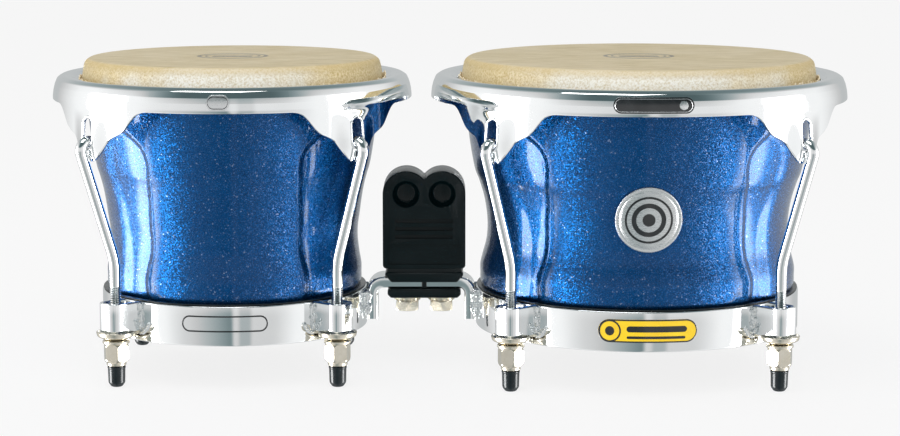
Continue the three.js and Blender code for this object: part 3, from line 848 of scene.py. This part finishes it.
def rod(drum):
    """A rod facing +X: threaded foot, bend, lean and a hook over the ear."""
    bend_low, bend_high, top, hook, tip, foot = 66.0, 78.0, 144.5, 5.3, 135.3, 3.6
    high = drum.rim + 6.8
    hook_foot = top - ROD_RADIUS - hook
    middle = (bend_low + bend_high) / 2
    slope = (high - drum.rod) / (hook_foot - middle)
    line = [(drum.rod, z) for z in np.arange(foot, 58.6, THREAD_PITCH / 6)]
    threaded = len(line)
    line += [(drum.rod, 62), (drum.rod, bend_low)]
    after = (drum.rod + slope * (bend_high - middle), bend_high)
    for t in np.linspace(0, 1, 9)[1:]:
        x = (1 - t) ** 2 * drum.rod + 2 * t * (1 - t) * drum.rod + t * t * after[0]
        line.append((x, (1 - t) ** 2 * bend_low + 2 * t * (1 - t) * middle + t * t * bend_high))
    lean = math.atan(slope)
    across = hook * (1 + math.cos(lean)) / 2
    start = (high - across + across * math.cos(-lean), hook_foot + hook * math.sin(-lean))
    line += [(after[0] + (start[0] - after[0]) * t, bend_high + (start[1] - bend_high) * t)
             for t in np.linspace(0, 1, 12)[1:-1]]
    line += [(high - across + across * math.cos(a), hook_foot + hook * math.sin(a))
             for a in np.linspace(-lean, math.pi, 26)]
    end_x = line[-1][0]
    line += [(end_x, hook_foot - 0.5), (end_x, tip + 0.45), (end_x, tip)]
    path = np.array([(x, 0, z) for x, z in line])
    sides = 20
    radii = np.full((len(path), sides), ROD_RADIUS)
    around = np.linspace(0, 1, sides, endpoint=False)
    for i in range(threaded):
        z = path[i, 2]
        fade = smoothstep(58.4, 56.8, z)
        wave = np.abs(((z / THREAD_PITCH - around) % 1.0) * 2 - 1)
        radii[i] = ROD_RADIUS - 0.42 * fade * (1 - wave)
    radii[-1] = ROD_RADIUS - 0.5
    radii[0] = ROD_RADIUS - 0.6
    return tube(path, (0, 1, 0), radii, sides)


def hexed(rows, closed=True):
    """Turned about Z. Rows are (radius, height, cut), and cut ones stop at the sides of a hexagon."""
    corner = circle(60)
    facet = (HEX_FLATS / 2) / np.cos((corner % (math.pi / 3)) - math.pi / 6)
    rings = []
    for radius, height, cut in rows:
        r = np.minimum(radius, facet) if cut else np.full(len(corner), radius)
        rings.append(np.column_stack([r * np.cos(corner), r * np.sin(corner), np.full(len(corner), height)]))
    return grid(np.array(rings), loop_u=closed)


def nut():
    bore = 3.7
    return hexed([
        (bore, 12.2, 0), (4.9, 12.2, 0), (5.45, 12.45, 0), (5.6, 12.9, 0), (5.6, 13.9, 0), (5.75, 14.2, 0),
        (6.5, 14.75, 1), (7.1, 15.3, 1), (7.35, 15.9, 1), (7.51, 16.6, 1), (7.51, 23.2, 1), (7.35, 23.8, 1),
        (7.0, 24.3, 1), (6.7, 24.7, 1), (6.9, 24.9, 0), (7.5, 25.1, 0), (7.7, 25.5, 0), (7.7, 26.3, 0),
        (7.4, 26.8, 0), (6.9, 27.0, 0), (bore, 27.0, 0)])


def washer():
    section = rounded([(3.7, 27.3), (6.4, 27.3, 1.2), (10.6, 29.2, 1.6), (11.2, 31.7, 0.6), (10.5, 32.0, 0.4),
                       (9.7, 31.1, 0.8), (8.8, 31.0, 0.6), (6.2, 29.3, 0.8), (3.7, 29.3)])
    return revolved(section, 56)


def foot_cap():
    outside = rounded([(0, 0), (3.1, 0, 1.6), (4.75, 2.4, 2.4), (4.95, 10.4, 0.3), (5.15, 10.9, 0.3),
                       (5.15, 11.9, 0.4), (3.6, 11.9)], 6, closed=False)
    return revolved(outside + [(3.6, 3.3), (0, 3.3)], 48)


def lug_hardware(drum):
    """The parts on each rod. A nut turns by itself, so its body has its own name."""
    shapes = {"rod": (rod(drum), False, drum.tuning, "chrome", chrome),
              "washer": (washer(), True, "root", "chrome", nickel),
              "nut": (nut(), True, None, "nickel", nickel),
              "foot": (foot_cap(), True, drum.tuning, "rubber", rubber)}
    for place, degrees in LUGS.items():
        for part, (shape, on_rod, body, slot, look_of) in shapes.items():
            node = drum.node(f"{part}_{place}")
            obj = drum.piece(f"{part}_{place}", drum.at_lug(shape, degrees, on_rod))
            settle(obj, look_of, body or node, node)


RING = {"foot": 25.6, "top": 48.3, "wall": 2.5, "ledge_top": 31.5, "ledge": 8.5, "ledge_thick": 2.5}
BRACKET = {"foot": 31.8, "top": 48.5, "half": 8.0, "wall": 2.4}


def bracket(drum):
    """A U of plate round the rod, welded to the ring."""
    middle = BRACKET["half"] - BRACKET["wall"] / 2
    end = drum.rod + middle
    start = drum.ring - 0.8
    plan = [(start, -middle), (end, -middle, 4.6), (end, middle, 4.6), (start, middle)]
    plan = rounded(plan, 9, closed=False)
    path = []
    for (x0, y0), (x1, y1) in zip(plan, plan[1:]):
        path.append((x0, y0, 0))
        if math.hypot(x1 - x0, y1 - y0) > 3:
            path += [(x0 + (x1 - x0) * t, y0 + (y1 - y0) * t, 0) for t in (0.05, 0.5, 0.95)]
    path.append((*plan[-1], 0))
    half = BRACKET["wall"] / 2
    section = rounded([(-half, BRACKET["foot"], 0.35), (half, BRACKET["foot"], 0.35),
                       (half, BRACKET["top"], 0.6), (-half, BRACKET["top"], 0.6)], 3)
    return swept(path, (0, 0, 1), section)


def bracket_welds(drum, seed):
    """Upright beads beside the bracket and a stray one that climbs the ring below it."""
    beads = []
    for side in (-1, 1):
        y = side * (BRACKET["half"] + 0.3)
        x = math.sqrt(drum.ring ** 2 - y * y) + 0.35
        upright = [(x + 0.5 * math.sin(z), y + 0.2 * math.cos(2 * z), z) for z in np.linspace(32.4, 48, 24)]
        beads.append(bead(upright, 1.55, (0, 1, 0), seed + side))
        climb = []
        for s, z in ((7.0, 30.7), (9.5, 30.9), (11.5, 32.1), (13.2, 34.3), (14.8, 37.1)):
            a = side * s / drum.ring
            climb.append((drum.ring * math.cos(a), drum.ring * math.sin(a), z))
        beads.append(bead(smooth_line(climb, 24), 1.25, (1, 0, 0), seed + 3 * side))
    return beads


def bottom_ring(drum):
    inner = drum.ring - RING["wall"]
    ledge = inner - RING["ledge"]
    under = RING["ledge_top"] - RING["ledge_thick"]
    foot, top, ledge_top = RING["foot"], RING["top"], RING["ledge_top"]
    section = rounded([(drum.ring, foot, 0.8), (drum.ring, top, 0.9), (inner, top, 0.6),
                       (inner, ledge_top, 0.3), (ledge, ledge_top, 0.6), (ledge, under, 0.6),
                       (inner, under, 0.3), (inner, foot, 0.6)])
    parts, welds = [revolved(section, 200)], []
    for k, degrees in enumerate(LUGS.values()):
        parts.append(turned_to(bracket(drum), degrees))
        welds += [turned_to(w, degrees) for w in bracket_welds(drum, k * 7.3 + drum.ring)]
    obj = drum.piece("bottom_ring", together(*parts))
    settle(obj, chrome, "root", drum.node("bottom_ring"))
    settle(drum.piece("ring_welds", together(*welds), 75), weld, "root")


def gasket(drum):
    inner, outer, lip = drum.outline[0][0] + 0.3, drum.ring - RING["wall"] - 0.3, drum.ring - 0.5
    foot, seat = 31.8, 33.8
    section = rounded([(outer - 7.7, foot, 0.3), (outer, foot, 0.3), (outer, 48.6), (lip, 48.6, 0.3),
                       (lip, 49.3, 0.4), (inner + 0.4, 49.4, 0.3), (inner, seat), (outer - 7.7, seat, 0.3)])
    obj = drum.piece("gasket", revolved(section, 160))
    settle(obj, rubber, "root", drum.node("gasket"))


# ---------- Centre pieces ----------

CENTRE_LOW, CENTRE_HIGH = (np.array(v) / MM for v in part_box("centre_block"))
CENTRE_X = (CENTRE_LOW[0] + CENTRE_HIGH[0]) / 2


def bore(x, low, high):
    """The hole for a bolt."""
    return moved(revolved([(0, low), (4.5, low), (4.5, high), (0, high)], 32), x)


def centre_piece(name, shape, crease=34):
    return mesh_object("look_" + name, moved(shape, CENTRE_X), crease)


def centre_block():
    """A block with two lobes on top and a skirt below. Each face has two pockets, a recess and grooves."""
    half, lobe_x, lobe_z, foot, depth, corner = 24.1, 10.5, 103.6, 59.8, 15.0, 2.2
    lobe = half - lobe_x
    notch = math.acos(lobe_x / lobe)
    left = [(-lobe_x + lobe * math.cos(a), lobe_z + lobe * math.sin(a))
            for a in np.linspace(math.pi, notch, 34)]
    right = [(-x, z) for x, z in left[::-1]]
    outline = [(-half + corner, foot)]
    outline += [(-half + corner - corner * math.sin(a), foot + corner - corner * math.cos(a))
                for a in np.linspace(0.2, math.pi / 2, 6)]
    outline += left + right[1:]
    outline += [(half - corner + corner * math.cos(a), foot + corner - corner * math.sin(a))
                for a in np.linspace(0, math.pi / 2 - 0.2, 6)]
    outline.append((half - corner, foot))
    body = bevelled(centre_piece("centre_block", facing(outline, -depth, depth)), 1.9, 5, 50)
    skirt_line = rounded(both_sides([(-22.2, 57.7, 1.0), (-23.1, 56.2, 1.2), (-19.2, 51.8, 1.3)]), 5)
    skirt = bevelled(centre_piece("skirt", facing(skirt_line, -15.5, 15.5)), 2.1, 5, 50)
    neck = centre_piece("neck", facing([(-21.2, 55), (21.2, 55), (21.2, 61.6), (-21.2, 61.6)], -14.1, 14.1))
    body = joined(body, skirt, neck)
    pocket = rounded([(0, 7.6), (5.4, 7.2, 2.0), (7.15, 4.4, 1.5), (7.5, 0.7, 0.2), (8.3, -0.6), (8.3, -2),
                      (0, -2)], 5, closed=False)
    points, faces = revolved(pocket, 56)
    cuts = []
    for face in (-1, 1):
        y = face * depth
        for x in (-lobe_x, lobe_x):
            turned = [points[:, 0] + x, y - face * points[:, 2], points[:, 1] + lobe_z]
            cuts.append((np.column_stack(turned), faces))
        deep = sorted((y - face * 1.2, y + face * 2))
        cuts.append(box(-21.2, 21.2, *deep, 62.2, 74.2))
        deep = sorted((y - face * 2.0, y + face * 2))
        for k in range(3):
            low = 77.5 + 4.6 * k
            bar = rounded(rectangle(17, low, low + 2.4, 1.15), 5)
            cuts.append(facing(bar, *deep))
    cuts.append(box(-30, 30, -12.3, 12.3, 49, 54.8))
    cuts += [bore(x, 50, 74) for x in (-BOLT_X, BOLT_X)]
    carved(body, *[moved(c, CENTRE_X) for c in cuts])
    bevelled(body, 0.4, 3, 48)
    settle(body, nylon, "root", "centre_block")


def clamp_plate():
    z0, z1 = 42.2, 47.7
    line = rounded(both_sides([(-21.4, z1, 1.6), (-21.4, z0 + 2, 1.2), (-19.4, z0, 1.2)]), 4)
    obj = bevelled(centre_piece("clamp_plate", facing(line, -14, 14)), 1.2, 4, 50)
    carved(obj, *[bore(CENTRE_X + x, 40, 50) for x in (-BOLT_X, BOLT_X)])
    tab = rounded(both_sides([(-1.2, 54.4, 0.3), (-1.2, 48.2, 1.0), (-1.2, 47)]), 4)
    joined(obj, bevelled(centre_piece("tab", facing(tab, -12, 12)), 0.25, 2, 50))
    settle(obj, nylon, "root", "clamp_plate")


def bent_bar(drum, node, side):
    """A flat bar from the block, bent down along the drum's bottom ring and welded to it."""
    face = drum.x - side * drum.ring
    reach = abs(face - CENTRE_X) - 0.3
    thick, top, bend, foot, half = 6.5, 54.5, 10.0, 29.6, 12.0
    middle = bend - thick / 2
    line = [(x, top - thick / 2) for x in np.linspace(1.5, reach - bend, 12)]
    line += [(reach - bend + middle * math.sin(a), top - bend + middle * math.cos(a))
             for a in np.linspace(0, math.pi / 2, 15)[1:]]
    line += [(reach - thick / 2, z) for z in np.linspace(top - bend, foot, 8)[1:]]
    path = [(side * x, 0, z) for x, z in line]
    obj = centre_piece(node, swept(path, (0, 1, 0), rounded(rectangle(thick / 2, -half, half, 1.1), 4)))
    carved(obj, bore(CENTRE_X + side * BOLT_X, 45, 58))
    settle(obj, chrome, "root", node)
    beads = []
    for end in (-1, 1):
        y = end * 11.6
        x = drum.x - side * math.sqrt(drum.ring ** 2 - y * y)
        line = [(x - side * (1.2 + 0.5 * math.sin(z * 0.9)), y + end * 0.5 * math.cos(z * 0.7), z)
                for z in np.linspace(30.4, 47.8, 30)]
        beads.append(bead(line, 2.35, (0, 1, 0), drum.ring + 5 * end, 16))
        beads.append(bead([(p[0] - side * 1.6, p[1] + end * 1.4, p[2]) for p in line[3:-3]], 1.3, (0, 1, 0),
                          drum.ring + 9 * end))
    settle(mesh_object(f"look_{node}_welds", together(*beads), 75), weld, "root")


def bolts():
    head = [(0, 33, 0), (5.4, 33, 0), (6.3, 33.15, 1), (6.9, 33.4, 1), (7.3, 33.7, 1), (7.51, 34, 1),
            (7.51, 38.1, 1), (7.3, 38.4, 1), (6.4, 38.5, 0), (6.4, 38.8, 0), (4, 38.8, 0)]
    shank = [(4, 39.5, 0), (4, 72.4, 0), (3.4, 73, 0), (0, 73, 0)]
    bolt = hexed(head + shank, closed=False)
    teeth, tooth, bore = 14, 0.62, 4.5
    around = circle(teeth * 8)
    washer_rings = []
    for a in around:
        phase = (a * teeth / (2 * math.pi)) % 1.0
        outer = 7.8 if phase < tooth else 6.7
        lift = 0.55 * (phase / tooth - 0.5) if phase < tooth else 0.0
        section = [(bore, 39.15), (6.2, 39.15), (outer, 39.6 + lift), (outer, 41.3 + lift), (6.2, 41.85),
                   (bore, 41.85)]
        washer_rings.append([(r * math.cos(a), r * math.sin(a), z) for r, z in section])
    lock = grid(washer_rings)
    for place, x, turn in (("left", -BOLT_X, 28), ("right", BOLT_X, 31)):
        for part, shape, crease in (("bolt", turned_to(bolt, turn), 20), ("lock_washer", lock, 34)):
            name = f"{part}_{place}"
            settle(centre_piece(name, moved(shape, x), crease), nickel, "root", name)


# ---------- Badges, all blank ----------

BADGE_LOOKS = {"brushed_badge": brushed, "black_enamel": black_enamel, "yellow_enamel": yellow_enamel}


def wrapped(shape, drum, height, radius_at):
    """Wraps a flat shape, drawn as (along, up, out), around the drum's front."""
    along, up, out = shape[0].T
    radius = radius_at(height + up) + out
    angle = along / radius
    return np.column_stack([drum.x + radius * np.sin(angle), -radius * np.cos(angle), height + up]), shape[1]


def pill(length, height, thickness, low=0.0, columns=48, edge=0.25):
    """A plate with round ends, drawn as (along, up, out), with a softened edge."""
    high, soft = low + thickness, 1.4 * edge / height
    rows = [(1.0, low), (1.0, high - edge), (1 - soft, high), (0.5, high), (0.0, high), (-0.5, high),
            (-1 + soft, high), (-1.0, high - edge), (-1.0, low)]
    straight = (length - height) / 2
    rings = []
    for t in np.linspace(-1, 1, columns + 1):
        along = math.sin(t * math.pi / 2) * length / 2
        past = max(0.0, abs(along) - straight) / (height / 2)
        tall = math.sqrt(max(0.0004, 1 - past * past)) * height / 2
        rings.append([(along, share * tall, out) for share, out in rows])
    return loft(rings)


def pill_frame(length, height, width, low, rise):
    """A raised border line of a pill."""
    straight = (length - height) / 2
    rings = []
    ends = [(math.cos(a), math.sin(a)) for a in np.linspace(-math.pi / 2, math.pi / 2, 44)]
    spine = [(straight + c * height / 2, s * height / 2, c, s) for c, s in ends]
    top = [(x, height / 2, 0, 1) for x in np.linspace(straight, -straight, 26)[1:-1]]
    spine = spine + top + [(-x, -y, -nx, -ny) for x, y, nx, ny in spine + top]
    section = (width, low), (0, low), (0.15, low + rise), (width - 0.15, low + rise)
    for x, y, nx, ny in spine:
        rings.append([(x - nx * inwards, y - ny * inwards, out) for inwards, out in section])
    return grid(rings)


def disc(profile, segments=72, centre=0.0):
    """Turned about the badge's own middle from (radius, out)."""
    points, faces = revolved(profile, segments)
    return np.column_stack([points[:, 0] + centre, points[:, 1], points[:, 2]]), faces


def badge(drum, height, radius_at, body, name, shape, slot, in_cad=False):
    """A badge or a mark on one. in_cad tells that the CAD has a node of the same name."""
    obj = mesh_object("look_" + name, wrapped(shape, drum, height, radius_at), 30)
    settle(obj, BADGE_LOOKS[slot], body, name if in_cad else None)


def rim_face(drum):
    """Radius of the rim's face at a height."""
    heights, offsets = (0, 3, 5.4, 8.8, 12), (-0.1, -0.2, -0.5, -1.3, -2.6)
    return lambda z: drum.rim + np.interp(z - RIM_EDGE, heights, offsets) + 0.12


def ring_face(drum):
    return lambda z: z * 0 + drum.ring + 0.02


def disc_of(inner, outer, low, high, segments=40, centre=0.0):
    """A flat ring, or a whole disc where inner is 0."""
    return disc([(inner, low), (outer, low), (outer, high), (inner, high)], segments, centre)


def badges():
    """Every badge is blank. A row is (name, shape, slot, in_cad)."""
    dot = disc([(0, 0.4), (2.4, 0.4), (2.4, 0.56), (2.1, 0.66), (0, 0.66)], 40, 16.2)
    eye_x = -21.4
    eye = disc_of(5.4, 6.3, 0.4, 0.62, 56, eye_x)
    bars = together(moved(pill(34, 3.4, 0.2, 0.4, 24, 0.08), 5.0, 1.1),
                    moved(pill(33, 1.5, 0.2, 0.4, 24, 0.08), 4.6, -3.6), disc_of(0, 2.6, 0.4, 0.6, 40, eye_x))
    places = [
        ((MACHO, 165.6, rim_face(MACHO), MACHO.tuning), [
            ("macho_rim_badge", pill(13, 8.4, 0.5), "brushed_badge", True),
            ("macho_rim_badge_line", pill_frame(11.6, 7.0, 0.55, 0.42, 0.16), "black_enamel")]),
        ((HEMBRA, 165.8, rim_face(HEMBRA), HEMBRA.tuning), [
            ("hembra_rim_badge", pill(44, 8.8, 0.5), "black_enamel", True),
            ("hembra_rim_badge_line", pill_frame(42.4, 7.3, 0.4, 0.42, 0.16), "brushed_badge"),
            ("hembra_rim_badge_dot", dot, "brushed_badge")]),
        ((HEMBRA, 37.6, ring_face(HEMBRA), "root"), [
            ("hembra_ring_badge", pill(56, 13, 0.5), "yellow_enamel", True),
            ("hembra_ring_badge_line", pill_frame(56, 13, 0.9, 0.4, 0.2), "black_enamel"),
            ("hembra_ring_badge_eye", eye, "black_enamel"),
            ("hembra_ring_badge_bars", bars, "black_enamel")]),
        ((MACHO, 38.4, ring_face(MACHO), "root"), [
            ("macho_ring_line", pill_frame(49.6, 9.6, 1.15, -0.3, 0.36), "black_enamel")]),
        shell_badge()]
    for place, rows in places:
        for row in rows:
            badge(*place, *row)


def shell_badge():
    """A round plate on the hembra's shell. Its back is straight, so it bridges the waist."""
    radius, height = 18.75, 99.5
    radii, heights = zip(*HEMBRA.outline)
    ends = np.interp([height - radius, height + radius], heights, radii)

    def face(z):
        return ends[0] + (ends[1] - ends[0]) * (z - height + radius) / (2 * radius) + 0.3

    plate = disc([(0, 0.75), (4, 0.75), (8, 0.75), (12, 0.75), (15.4, 0.75), (15.6, 0.9), (16.2, 0.9),
                  (16.4, 0.75), (17.6, 0.75), (18.0, 0.95), (18.45, 0.9), (18.7, 0.6), (radius, 0), (12, 0),
                  (6, 0), (0, 0)], 120)
    rings = together(disc_of(12.2, 13.4, 0.7, 0.86, 96), disc_of(7.0, 9.6, 0.7, 0.86, 96),
                     disc_of(0, 3.6, 0.7, 0.86, 60))
    return (HEMBRA, height, face, "root"), [
        ("hembra_shell_badge", plate, "brushed_badge", True),
        ("hembra_shell_badge_rings", rings, "black_enamel")]


# ---------- Assembly ----------

look()
studio()
pale_floor()
for each in (MACHO, HEMBRA):
    shell(each)
    skin(each)
    hide_edge(each)
    flesh_hoop(each)
    rim(each)
    bottom_ring(each)
    gasket(each)
    lug_hardware(each)
centre_block()
clamp_plate()
bent_bar(MACHO, "bar_macho", -1)
bent_bar(HEMBRA, "bar_hembra", 1)
bolts()
badges()
